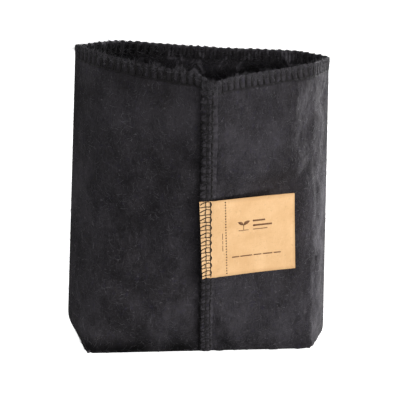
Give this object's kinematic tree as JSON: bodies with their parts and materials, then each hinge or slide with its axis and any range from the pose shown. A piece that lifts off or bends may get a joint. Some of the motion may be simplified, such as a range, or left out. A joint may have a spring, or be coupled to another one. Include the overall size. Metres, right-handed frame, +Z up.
{
  "type": "fabric grow bag",
  "caption": "Open felt grow bag with a boxed flat base, an overlocked rim, an outside front seam folded flat and a small card tag sewn into that seam.",
  "frame": {"origin": "centre of the base's resting face, on the floor", "axes": "+Z up the bag, +X to the bag's right seen from the front, -Y towards the front seam and tag"},
  "size_m": [0.185, 0.1128, 0.2149],
  "materials": {
    "felt": "matt charcoal needle-punched recycled felt",
    "thread": "spun polyester overlock thread, charcoal",
    "tag_card": "uncoated kraft card"
  },
  "bodies": {
    "base": {"base_panel": "felt", "left_gusset": "felt", "right_gusset": "felt", "side_rim_needle_thread": "thread", "side_rim_upper_looper_thread": "thread", "side_rim_lower_looper_thread": "thread", "base_seam_needle_thread": "thread", "base_seam_upper_looper_thread": "thread", "base_seam_lower_looper_thread": "thread", "left_corner_seam_needle_thread": "thread", "left_corner_seam_upper_looper_thread": "thread", "left_corner_seam_lower_looper_thread": "thread", "right_corner_seam_needle_thread": "thread", "right_corner_seam_upper_looper_thread": "thread", "right_corner_seam_lower_looper_thread": "thread"},
    "front_wall": {"front_left_wall": "felt", "front_right_wall": "felt", "front_seam_inner_needle_thread": "thread", "front_seam_outer_needle_thread": "thread", "front_seam_upper_looper_thread": "thread", "front_seam_lower_looper_thread": "thread", "front_rim_needle_thread": "thread", "front_rim_upper_looper_thread": "thread", "front_rim_lower_looper_thread": "thread", "tag_stub": "tag_card"},
    "back_wall": {"back_wall": "felt", "back_rim_needle_thread": "thread", "back_rim_upper_looper_thread": "thread", "back_rim_lower_looper_thread": "thread"},
    "tag_flap": {"tag_flap": "tag_card"}
  },
  "joints": [
    {"name": "front_wall_swing", "type": "hinge", "parent": "base", "child": "front_wall", "pos_m": [0, -0.0265, 0.001], "axis": [1, 0, 0], "range_deg": [-7.5, 4], "stiffness_Nm_per_rad": 0.3},
    {"name": "back_wall_swing", "type": "hinge", "parent": "base", "child": "back_wall", "pos_m": [0, 0.0265, 0.001], "axis": [-1, 0, 0], "range_deg": [-2, 5], "stiffness_Nm_per_rad": 0.3},
    {"name": "tag_flap_swing", "type": "hinge", "parent": "front_wall", "child": "tag_flap", "pos_m": [0.01187, -0.05385, 0.08794], "axis": [0.0905, 0.249, -0.9643], "range_deg": [0, 150], "stiffness_Nm_per_rad": 0.002}
  ]
}
